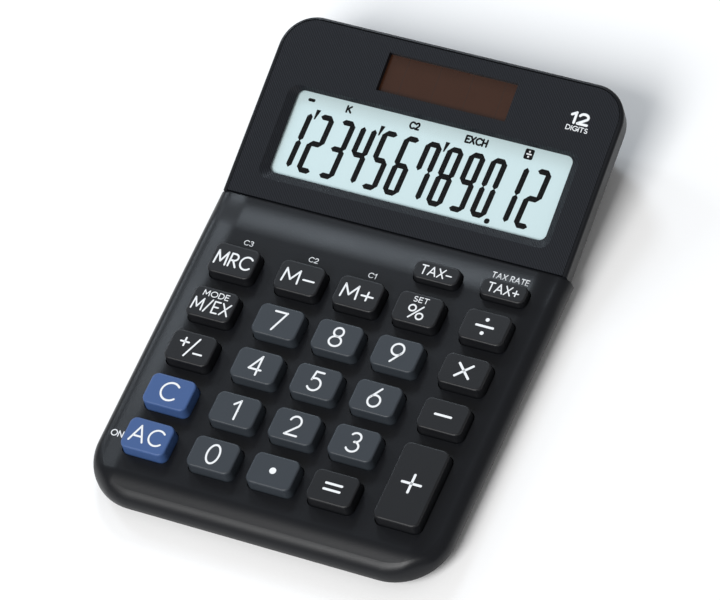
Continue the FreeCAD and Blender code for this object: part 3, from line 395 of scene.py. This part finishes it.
def eroded(recipe, colour, roughness, grain):
    """Colour, roughness and relief of plastic from a mould with a fine eroded grain."""
    clouds = recipe.noise(0.018, 3.0)
    specks = recipe.noise(grain, 2.0, 0.6)
    cells = recipe.pits(grain * 1.6)
    tone = recipe.shades(clouds * 0.6 + specks * 0.4, colour, 0.06)
    rough = roughness + (clouds - 0.5) * 0.08 + (specks - 0.5) * 0.12
    return tone, rough, specks * 0.6 + cells * 0.4


def moulded(name, colour, roughness=0.5, grain=0.00025, depth=0.000012):
    """Matt moulded plastic or rubber."""
    recipe = Recipe(name)
    tone, rough, relief = eroded(recipe, colour, roughness, grain)
    return recipe.surface(
        Base_Color=tone,
        Roughness=rough,
        Normal=recipe.bump(relief, depth),
        Specular_IOR_Level=0.35,
    )


def case_shell(name, colour, roughness, grain, depth):
    """The case's plastic, shaded so that the deck's flat face seems to ease down to its borders."""
    recipe = Recipe(name)
    tone, rough, relief = eroded(recipe, colour, roughness, grain)
    down = FOLD_Y - recipe.axis("Y")
    aside = recipe.absolute(recipe.axis("X"))
    on_deck_face = down > 0.0
    fall = 0.0
    for value, (start, end, drop) in ((down, BACK_EASE), (down, FRONT_EASE), (aside, SIDE_EASE)):
        fall = recipe.ramp(value, start, end) * drop + fall
    return recipe.surface(
        Base_Color=tone,
        Roughness=rough,
        Normal=recipe.bump(relief * depth - fall * on_deck_face, 1.0),
        Specular_IOR_Level=0.3,
    )


def lined_panel(name, colour, roughness, pitch, depth):
    """The faceplate: very fine slanted lines over a matt ground."""
    recipe = Recipe(name)
    clouds = recipe.noise(0.02, 3.0)
    specks = recipe.noise(0.0002)
    lines = recipe.lines(pitch, math.radians(-42.0))
    lit = recipe.shades(clouds, colour, 0.05)
    return recipe.surface(
        Base_Color=recipe.blend(lines * 0.7, lit, tuple(part * 4.5 for part in colour)),
        Roughness=roughness + (specks - 0.5) * 0.1 + lines * 0.05,
        Normal=recipe.bump(lines * 0.8 + specks * 0.2, depth),
        Specular_IOR_Level=0.25,
    )


def metal(name, colour, roughness, brushed=(1.0, 1.0, 1.0)):
    """Plated steel with fine brush marks."""
    recipe = Recipe(name)
    clouds = recipe.noise(0.004, 3.0)
    brush = recipe.noise(0.0004, 3.0, 0.6, recipe.mapped(brushed))
    return recipe.surface(
        Base_Color=recipe.shades(clouds, colour, 0.08),
        Metallic=1.0,
        Roughness=roughness + (brush - 0.5) * 0.18 + (clouds - 0.5) * 0.1,
        Normal=recipe.bump(brush, 0.000004),
    )


def display_glass(name, colour):
    """The pale face of the display: a soft film with hardly any grain."""
    recipe = Recipe(name)
    clouds = recipe.noise(0.03, 2.0)
    fine = recipe.noise(0.00012)
    return recipe.surface(
        Base_Color=recipe.shades(clouds, colour, 0.015),
        Roughness=0.42 + (fine - 0.5) * 0.08,
        Normal=recipe.bump(fine, 0.000001),
        Specular_IOR_Level=0.25,
    )


def clear_window(name):
    """Clear acrylic, with the faint waviness of a moulded sheet."""
    recipe = Recipe(name)
    waves = recipe.noise(0.02, 1.0)
    return recipe.surface(
        Base_Color=recipe.shades(waves, (0.02, 0.022, 0.022), 0.1),
        Roughness=0.06 + waves * 0.03,
        Alpha=0.02 + waves * 0.006,
        Normal=recipe.bump(waves, 0.00001),
    )


def solar_glass(name, colour):
    """A dark brown solar cell behind glass, with thin lines between its strips."""
    recipe = Recipe(name)
    clouds = recipe.noise(0.006, 3.0)
    streaks = recipe.noise(0.0012, 2.0, 0.5, recipe.mapped((6.0, 0.5, 1.0)))
    gap = recipe.stripes(0.0096, 0.00035)
    ground = recipe.shades(clouds * 0.5 + streaks * 0.5, colour, 0.12)
    return recipe.surface(
        Base_Color=recipe.blend(gap * 0.3, ground, (0.02, 0.012, 0.01)),
        Roughness=0.24 + (clouds - 0.5) * 0.06,
        Normal=recipe.bump(streaks, 0.000002),
        Coat_Weight=0.2,
        Coat_Roughness=0.08,
    )


def striped_film(name, colour):
    """A flat ribbon with dark conductor lines."""
    recipe = Recipe(name)
    dark = recipe.stripes(0.0012, 0.0006)
    cloud = recipe.noise(0.004)
    return recipe.surface(
        Base_Color=recipe.blend(dark * 0.8, recipe.shades(cloud, colour, 0.08), (0.03, 0.03, 0.03)),
        Roughness=0.45 + (cloud - 0.5) * 0.1,
        Normal=recipe.bump(dark, 0.000008),
    )


def board(name, colour):
    """Phenolic circuit board with fine fibres."""
    recipe = Recipe(name)
    fibres = recipe.noise(0.0006, 3.0, 0.6, recipe.mapped((0.3, 3.0, 1.0)))
    clouds = recipe.noise(0.01, 3.0)
    return recipe.surface(
        Base_Color=recipe.shades(fibres * 0.5 + clouds * 0.5, colour, 0.2),
        Roughness=0.4 + (fibres - 0.5) * 0.15,
        Normal=recipe.bump(fibres, 0.000006),
    )


def ink(name, colour, roughness=0.45, specular=0.5):
    """Printed ink, a little uneven at the scale of the print."""
    recipe = Recipe(name)
    specks = recipe.noise(0.0003)
    return recipe.surface(
        Base_Color=recipe.shades(specks, colour, 0.03),
        Roughness=roughness + (specks - 0.5) * 0.1,
        Normal=recipe.bump(specks, 0.000002),
        Specular_IOR_Level=specular,
    )


# --- modelling ---------------------------------------------------------------------------------


def nothing_selected():
    for thing in bpy.context.selected_objects:
        thing.select_set(False)
    bpy.context.view_layer.objects.active = None


def only(thing):
    nothing_selected()
    thing.select_set(True)
    bpy.context.view_layer.objects.active = thing


def on_deck(across, down, level):
    """The place on the deck, or that far above it, with Y up the deck and Z away from it."""
    along = FOLD_Y - (down * math.cos(DECK_TILT) + level * math.sin(DECK_TILT)) * MM
    height = DECK_LEVEL + (level * math.cos(DECK_TILT) - down * math.sin(DECK_TILT)) * MM
    return Matrix.Translation((across * MM, along, height)) @ Matrix.Rotation(DECK_TILT, 4, "X")


def on_display(across, up, level):
    """The place on the display's slope, or that far above it."""
    along = FOLD_Y + (up * math.cos(DISPLAY_TILT) - level * math.sin(DISPLAY_TILT)) * MM
    height = PANEL_LEVEL + (up * math.sin(DISPLAY_TILT) + level * math.cos(DISPLAY_TILT)) * MM
    return Matrix.Translation((across * MM, along, height)) @ Matrix.Rotation(DISPLAY_TILT, 4, "X")


def pen_runs(line):
    """Cuts a pen line where it turns sharply, so that every run can have round ends."""
    runs, run = [], [line[0]]
    for before, here, after in zip(line, line[1:], line[2:]):
        run.append(here)
        into = Vector(here) - Vector(before)
        onward = Vector(after) - Vector(here)
        if into.angle(onward) > SHARP_TURN:
            runs.append(run)
            run = [here]
    runs.append(run + [line[-1]])
    return runs


def pen_spline(curve, run, radius):
    """One round-ended stroke of the pen."""
    closed = (Vector(run[0]) - Vector(run[-1])).length < 1e-5
    points = [(Vector(point), 1.0) for point in (run[:-1] if closed else run)]
    if not closed:
        for end, beside in ((0, 1), (-1, -2)):
            outward = (Vector(run[end]) - Vector(run[beside])).normalized() * radius
            cap = [(Vector(run[end]) + outward * share, width) for share, width in ROUND_END]
            points = cap[::-1] + points if end == 0 else points + cap
    spline = curve.splines.new("POLY")
    spline.points.add(len(points) - 1)
    spline.use_cyclic_u = closed
    for target, (place, width) in zip(spline.points, points):
        target.co = (place.x, place.y, 0.0, 1.0)
        target.radius = width


def words(text, width, height, across, up, stroke, thickness):
    """Flat lettering of that width and height about one point, standing on Z = 0, in millimetres."""
    lines, pen = [], 0.0
    for character in text:
        wide, strokes = GLYPHS[character]
        lines += [[(x + pen, y) for x, y in line] for line in strokes]
        pen += wide + LETTER_GAP
    total = pen - LETTER_GAP
    stretch = (width - stroke) / total
    curve = bpy.data.curves.new("lettering", "CURVE")
    curve.dimensions = "3D"
    curve.bevel_depth = stroke / 2
    curve.bevel_resolution = 1
    for line in lines:
        placed = [((x - total / 2) * stretch, (y - 0.5) * (height - stroke)) for x, y in line]
        for run in pen_runs(placed):
            pen_spline(curve, run, stroke / 2)
    letters = bpy.data.objects.new("lettering", curve)
    bpy.context.collection.objects.link(letters)
    only(letters)
    bpy.ops.object.convert(target="MESH")
    letters = bpy.context.object
    flat = Matrix.Diagonal((1.0, 1.0, thickness / stroke, 1.0))
    letters.data.transform(Matrix.Translation((across, up, thickness / 2)) @ flat)
    return letters


def raised(thing, thickness):
    """Gives a flat outline its thickness."""
    only(thing)
    bpy.ops.object.mode_set(mode="EDIT")
    bpy.ops.mesh.select_all(action="SELECT")
    bpy.ops.mesh.extrude_region_move(TRANSFORM_OT_translate={"value": (0.0, 0.0, thickness)})
    bpy.ops.mesh.select_all(action="SELECT")
    bpy.ops.mesh.normals_make_consistent(inside=False)
    bpy.ops.object.mode_set(mode="OBJECT")
    return thing


def bar(length, width, across, up, turn, thickness, corner=0.45, segments=4):
    """A flat bar with rounded ends, in millimetres."""
    nothing_selected()
    bpy.ops.mesh.primitive_plane_add(size=1.0)
    made = bpy.context.object
    made.data.transform(Matrix.Diagonal((length, width, 1.0, 1.0)))
    only(made)
    bpy.ops.object.mode_set(mode="EDIT")
    bpy.ops.mesh.select_all(action="SELECT")
    bpy.ops.mesh.bevel(offset=width * corner, segments=segments, affect="VERTICES")
    bpy.ops.object.mode_set(mode="OBJECT")
    raised(made, thickness)
    turned = Matrix.Rotation(math.radians(turn), 4, "Z")
    made.data.transform(Matrix.Translation((across, up, 0.0)) @ turned)
    return made


def dot(radius, across, up, thickness):
    """A flat round dot, in millimetres."""
    nothing_selected()
    bpy.ops.mesh.primitive_circle_add(vertices=24, radius=radius, fill_type="NGON")
    made = raised(bpy.context.object, thickness)
    made.data.transform(Matrix.Translation((across, up, 0.0)))
    return made


def wedge(width, height, across, up, thickness):
    """A flat wedge that narrows downwards, as the display's thousands marks."""
    nothing_selected()
    bpy.ops.mesh.primitive_plane_add(size=1.0)
    made = bpy.context.object
    made.data.transform(Matrix.Diagonal((width, height, 1.0, 1.0)))
    for vertex in made.data.vertices:
        if vertex.co.y < 0:
            vertex.co.x = vertex.co.x * FOOT_WIDTH - width * FOOT_ASIDE
    raised(made, thickness)
    made.data.transform(Matrix.Translation((across, up, 0.0)))
    return made


def together(name, parts, place, finish, body):
    """Joins flat parts into one piece at its place, in metres, and lets it ride on a body."""
    nothing_selected()
    for part in parts:
        part.select_set(True)
    bpy.context.view_layer.objects.active = parts[0]
    if len(parts) > 1:
        bpy.ops.object.join()
    piece = bpy.context.object
    piece.name = name
    piece.data.name = name
    piece.data.transform(place @ Matrix.Diagonal((MM, MM, MM, 1.0)))
    piece.matrix_world = Matrix.Identity(4)
    piece.data.materials.clear()
    piece.data.materials.append(finish)
    for face in piece.data.polygons:
        face.material_index = 0
    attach(piece, body)


def material(name):
    """The material of that name, which the finishes operator has made."""
    if name not in bpy.data.materials:
        raise RuntimeError(f"there is no material named {name}: run the finishes first")
    return bpy.data.materials[name]


# --- settings ----------------------------------------------------------------------------------


class CalculatorPrint(bpy.types.PropertyGroup):
    """Sizes of what is printed and shown."""

    ink_thickness: bpy.props.FloatProperty(
        name="Ink thickness", description="Height of the printed ink, in millimetres", default=0.03)
    digit_width: bpy.props.FloatProperty(
        name="Digit width", description="Width of one display digit, in millimetres", default=4.79)
    digit_height: bpy.props.FloatProperty(
        name="Digit height", description="Height of one display digit, in millimetres", default=17.54)
    segment_width: bpy.props.FloatProperty(
        name="Segment width", description="Width of one display segment, in millimetres", default=1.58)
    digit_slant: bpy.props.FloatProperty(
        name="Digit slant", description="How far the digits lean",
        default=math.radians(3.55), subtype="ANGLE")


class CalculatorFinish(bpy.types.PropertyGroup):
    """Colours of the plastics and the display."""

    case: bpy.props.FloatVectorProperty(
        name="Case", description="Colour of the case",
        default=(0.0040, 0.0047, 0.0066), subtype="COLOR")
    panel: bpy.props.FloatVectorProperty(
        name="Panel", description="Colour of the display panel",
        default=(0.0036, 0.0042, 0.0058), subtype="COLOR")
    grey_key: bpy.props.FloatVectorProperty(
        name="Grey keys", description="Colour of the number keys",
        default=(0.033, 0.040, 0.049), subtype="COLOR")
    black_key: bpy.props.FloatVectorProperty(
        name="Black keys", description="Colour of the function keys",
        default=(0.0070, 0.0076, 0.0094), subtype="COLOR")
    blue_key: bpy.props.FloatVectorProperty(
        name="Blue keys", description="Colour of the clearing keys",
        default=(0.047, 0.098, 0.25), subtype="COLOR")
    glass: bpy.props.FloatVectorProperty(
        name="Display", description="Colour of the display's ground",
        default=(0.58, 0.72, 0.74), subtype="COLOR")


class CalculatorStage(bpy.types.PropertyGroup):
    """Light and floor."""

    main_light_power: bpy.props.FloatProperty(
        name="Main light", description="Power of the large soft light in front",
        default=45.0, unit="POWER")
    back_light_power: bpy.props.FloatProperty(
        name="Back light", description="Power of the small light behind the left side",
        default=1.1, unit="POWER")
    side_light_power: bpy.props.FloatProperty(
        name="Side light", description="Power of the small light on the left",
        default=0.75, unit="POWER")
    room_light: bpy.props.FloatProperty(
        name="Room light", description="Strength of the light from all round", default=0.34)
    floor_size: bpy.props.FloatProperty(
        name="Floor size", description="Width of the floor", default=6.0, unit="LENGTH")


# --- operators ---------------------------------------------------------------------------------


class CALCULATOR_OT_finishes(bpy.types.Operator):
    """Give every piece of the part its finish"""

    bl_idname = "calculator.finishes"
    bl_label = "Finishes"

    def execute(self, context):
        finish = context.scene.calculator_finish
        recipes = {
            "case_plastic": lambda name: case_shell(name, finish.case, 0.36, 0.0003, 0.000015),
            "panel_plastic": lambda name: lined_panel(name, finish.panel, 0.42, 0.0006, 0.00006),
            "clear_window": clear_window,
            "display_glass": lambda name: display_glass(name, finish.glass),
            "reflector_foil": lambda name: metal(name, (0.75, 0.82, 0.83), 0.35),
            "solar_glass": lambda name: solar_glass(name, (0.036, 0.0118, 0.0048)),
            "foam": lambda name: moulded(name, (0.03, 0.03, 0.03), 0.9, 0.0006, 0.00015),
            "inner_plastic": lambda name: moulded(name, (0.06, 0.06, 0.065), 0.5),
            "ribbon_film": lambda name: striped_film(name, (0.5, 0.35, 0.12)),
            "silicone": lambda name: moulded(name, (0.42, 0.43, 0.44), 0.62, 0.0005, 0.00001),
            "carbon": lambda name: moulded(name, (0.02, 0.02, 0.02), 0.7, 0.0002, 0.00001),
            "board_laminate": lambda name: board(name, (0.3, 0.2, 0.07)),
            "chip_resin": lambda name: moulded(name, (0.012, 0.012, 0.013), 0.2, 0.002, 0.00002),
            "ceramic_brown": lambda name: moulded(name, (0.3, 0.18, 0.1), 0.45, 0.0002),
            "ceramic_black": lambda name: moulded(name, (0.02, 0.02, 0.02), 0.4, 0.0002),
            "foot_rubber": lambda name: moulded(name, (0.018, 0.018, 0.019), 0.8, 0.0004, 0.00003),
            "screw_steel": lambda name: metal(name, (0.5, 0.5, 0.51), 0.32),
            "contact_metal": lambda name: metal(name, (0.72, 0.71, 0.68), 0.28, (1.0, 6.0, 1.0)),
            "cell_steel": lambda name: metal(name, (0.74, 0.74, 0.75), 0.22, (6.0, 1.0, 1.0)),
            "wire_jacket": lambda name: moulded(name, (0.45, 0.03, 0.02), 0.4, 0.0006, 0.000004),
            "key_grey": lambda name: moulded(name, finish.grey_key, 0.42, 0.00028, 0.000012),
            "key_black": lambda name: moulded(name, finish.black_key, 0.42, 0.00028, 0.000012),
            "key_blue": lambda name: moulded(name, finish.blue_key, 0.42, 0.00028, 0.000012),
        }
        made = {slot: recipe(f"{slot}_finish") for slot, recipe in recipes.items()}
        for part in frame["record"]["subparts"]:
            node = frame["nodes"][part["node"]]
            for slot in node.material_slots:
                slot.material = made[part["material_slot"]]
        ink("legend_ink", (0.82, 0.84, 0.86))
        ink("segment_ink", (0.003, 0.003, 0.0035), 0.6, 0.12)
        return {"FINISHED"}


class CALCULATOR_OT_key_legends(bpy.types.Operator):
    """Print the words and signs on the keys"""

    bl_idname = "calculator.key_legends"
    bl_label = "Key legends"

    def execute(self, context):
        sizes = context.scene.calculator_print
        thickness = sizes.ink_thickness
        for key in sorted({*KEY_WORDS, *KEY_BARS, *KEY_DOTS}):
            node = f"key_{key}"
            low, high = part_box(node)
            across = (low.x + high.x) / 2 / MM
            down = (FOLD_Y - (low.y + high.y) / 2) / MM
            rise = TAX_KEY_RISE if key.startswith("tax") else KEY_RISE
            parts = [words(text, width, height, 0.0, up, stroke, thickness)
                     for text, width, height, up, stroke in KEY_WORDS.get(key, [])]
            parts += [bar(*numbers, thickness) for numbers in KEY_BARS.get(key, [])]
            parts += [dot(*numbers, thickness) for numbers in KEY_DOTS.get(key, [])]
            together(f"legend_{key}", parts, on_deck(across, down, rise + PRINT_GAP),
                     material("legend_ink"), f"{node}_body")
        return {"FINISHED"}


class CALCULATOR_OT_case_print(bpy.types.Operator):
    """Print the small labels on the deck and on the display panel"""

    bl_idname = "calculator.case_print"
    bl_label = "Case print"

    def execute(self, context):
        sizes = context.scene.calculator_print
        for text, width, height, across, down, stroke in DECK_WORDS:
            label = words(text, width, height, 0.0, 0.0, stroke, sizes.ink_thickness)
            together(f"label_{text.replace(' ', '_').lower()}", [label], on_deck(across, down, PRINT_GAP),
                     material("legend_ink"), HOUSING)
        labels = [words(text, width, height, across, up, stroke, sizes.ink_thickness)
                  for text, width, height, across, up, stroke in PANEL_WORDS]
        together("label_digits", labels, on_display(0.0, 0.0, PRINT_GAP), material("legend_ink"), HOUSING)
        return {"FINISHED"}


class CALCULATOR_OT_display_marks(bpy.types.Operator):
    """Show a number and the indicators on the display"""

    bl_idname = "calculator.display_marks"
    bl_label = "Display marks"

    def execute(self, context):
        sizes = context.scene.calculator_print
        thickness = sizes.ink_thickness
        stroke = sizes.segment_width
        gap = stroke * SEGMENT_GAP
        half = sizes.digit_height / 2
        side = (sizes.digit_width - stroke) / 2
        reach = half - stroke / 2
        flat_length = 2 * (side - gap) + stroke * FLAT_REACH
        tall_length = reach - 2 * gap + stroke * TALL_REACH
        flat = bar(flat_length, stroke, 0.0, 0.0, 0.0, thickness, *POINTED)
        tall = bar(tall_length, stroke, 0.0, 0.0, 90.0, thickness, *POINTED)
        places = {
            "a": (flat, 0.0, reach), "g": (flat, 0.0, 0.0), "d": (flat, 0.0, -reach),
            "f": (tall, -side, reach / 2), "b": (tall, side, reach / 2),
            "e": (tall, -side, -reach / 2), "c": (tall, side, -reach / 2),
        }
        parts = []
        lean = math.tan(sizes.digit_slant)
        for position, figure in enumerate(READING):
            middle = DIGIT_START + DIGIT_PITCH * position + sizes.digit_width / 2
            for letter in SEGMENTS[figure]:
                pattern, across, up = places[letter]
                segment = pattern.copy()
                segment.data = pattern.data.copy()
                context.collection.objects.link(segment)
                place = (middle + across, DIGIT_FRONT + half + up, 0.0)
                segment.data.transform(Matrix.Translation(place))
                parts.append(segment)
        for position in APOSTROPHES:
            end = DIGIT_START + DIGIT_PITCH * position + sizes.digit_width
            top = DIGIT_FRONT + 2 * half - APOSTROPHE_DROP
            parts.append(wedge(*APOSTROPHE_SIZE, end + MARK_ASIDE, top, thickness))
        end = DIGIT_START + DIGIT_PITCH * POINT_AFTER + sizes.digit_width
        foot = DIGIT_FRONT - POINT_DROP
        parts.append(bar(*POINT_SIZE, end + MARK_ASIDE, foot, 0.0, thickness, *ROUNDED))
        for part in parts:
            for vertex in part.data.vertices:
                vertex.co.x += (vertex.co.y - DIGIT_FRONT) * lean
        for pattern in (flat, tall):
            bpy.data.objects.remove(pattern)
        glass = on_display(0.0, 0.0, MARKS_LEVEL)
        dark = material("segment_ink")
        together("display_digits", parts, glass, dark, HOUSING)
        marks = [words(text, width, height, across, INDICATOR_UP, stroke, thickness)
                 for text, width, height, across, stroke in INDICATOR_WORDS]
        marks.append(bar(*MINUS_BAR, INDICATOR_UP, 0.0, thickness))
        marks.append(bar(*SIGN_BOX, INDICATOR_UP, 90.0, thickness, *TRIMMED))
        together("display_indicators", marks, glass, dark, HOUSING)
        sign = [bar(*SIGN_BAR, INDICATOR_UP, 0.0, thickness / 3)]
        sign += [dot(SIGN_DOT_RADIUS, SIGN_BOX_ACROSS, INDICATOR_UP + up, thickness / 3)
                 for up in (SIGN_DOT_UP, -SIGN_DOT_UP)]
        together("display_sign", sign, on_display(0.0, 0.0, MARKS_LEVEL + thickness + PRINT_GAP),
                 material("legend_ink"), HOUSING)
        return {"FINISHED"}


class CALCULATOR_OT_stage(bpy.types.Operator):
    """Set up the floor, the lights and the camera"""

    bl_idname = "calculator.stage"
    bl_label = "Stage"

    def execute(self, context):
        stage = context.scene.calculator_stage
        nothing_selected()
        bpy.ops.mesh.primitive_plane_add(size=stage.floor_size)
        floor = bpy.context.object
        floor.name = "floor"
        recipe = Recipe("floor_finish")
        clouds = recipe.noise(0.3, 3.0)
        grain = recipe.noise(0.0015)
        floor.data.materials.append(recipe.surface(
            Base_Color=recipe.shades(clouds, FLOOR_TONE, 0.01),
            Roughness=0.8 + (grain - 0.5) * 0.1,
            Normal=recipe.bump(grain, 0.00002),
        ))
        for name, width, place, tint in LAMPS:
            nothing_selected()
            bpy.ops.object.light_add(type="AREA", location=place)
            lamp = bpy.context.object
            lamp.name = name
            lamp.data.energy = getattr(stage, f"{name}_power")
            lamp.data.size = width
            lamp.data.color = tint
            lamp.rotation_mode = "QUATERNION"
            lamp.rotation_quaternion = Vector(place).to_track_quat("Z", "Y")
        room = bpy.data.worlds.new("room")
        context.scene.world = room
        room.use_nodes = True
        background = room.node_tree.nodes["Background"]
        background.inputs["Color"].default_value = (1.0, 1.0, 1.0, 1.0)
        background.inputs["Strength"].default_value = stage.room_light
        bpy.ops.object.camera_add()
        camera = bpy.context.object
        camera.name = "camera"
        camera.data.sensor_width = CAMERA_SENSOR
        camera.data.lens = CAMERA_LENS
        camera.data.clip_start, camera.data.clip_end = CAMERA_REACH
        turn = Matrix(CAMERA_AXES).transposed().to_4x4()
        camera.matrix_world = Matrix.Translation(CAMERA_PLACE) @ turn
        context.scene.camera = camera
        context.scene.view_settings.view_transform = "Standard"
        return {"FINISHED"}


OPERATORS = (
    CALCULATOR_OT_finishes,
    CALCULATOR_OT_key_legends,
    CALCULATOR_OT_case_print,
    CALCULATOR_OT_display_marks,
    CALCULATOR_OT_stage,
)


class CALCULATOR_PT_panel(bpy.types.Panel):
    """Sizes, colours and steps of the calculator's looks"""

    bl_idname = "CALCULATOR_PT_panel"
    bl_label = "Desk calculator"
    bl_space_type = "VIEW_3D"
    bl_region_type = "UI"
    bl_category = "Calculator"

    def draw(self, context):
        for group in ("calculator_print", "calculator_finish", "calculator_stage"):
            box = self.layout.box()
            owner = getattr(context.scene, group)
            for name in owner.__annotations__:
                box.prop(owner, name)
        for operator in OPERATORS:
            self.layout.operator(operator.bl_idname)


CLASSES = (CalculatorPrint, CalculatorFinish, CalculatorStage, *OPERATORS, CALCULATOR_PT_panel)


def register():
    for kind in CLASSES:
        bpy.utils.register_class(kind)
    bpy.types.Scene.calculator_print = bpy.props.PointerProperty(type=CalculatorPrint)
    bpy.types.Scene.calculator_finish = bpy.props.PointerProperty(type=CalculatorFinish)
    bpy.types.Scene.calculator_stage = bpy.props.PointerProperty(type=CalculatorStage)


def unregister():
    for name in ("calculator_print", "calculator_finish", "calculator_stage"):
        delattr(bpy.types.Scene, name)
    for kind in reversed(CLASSES):
        bpy.utils.unregister_class(kind)


def main():
    register()
    bpy.ops.calculator.finishes()
    bpy.ops.calculator.key_legends()
    bpy.ops.calculator.case_print()
    bpy.ops.calculator.display_marks()
    bpy.ops.calculator.stage()


if __name__ == "__main__":
    main()
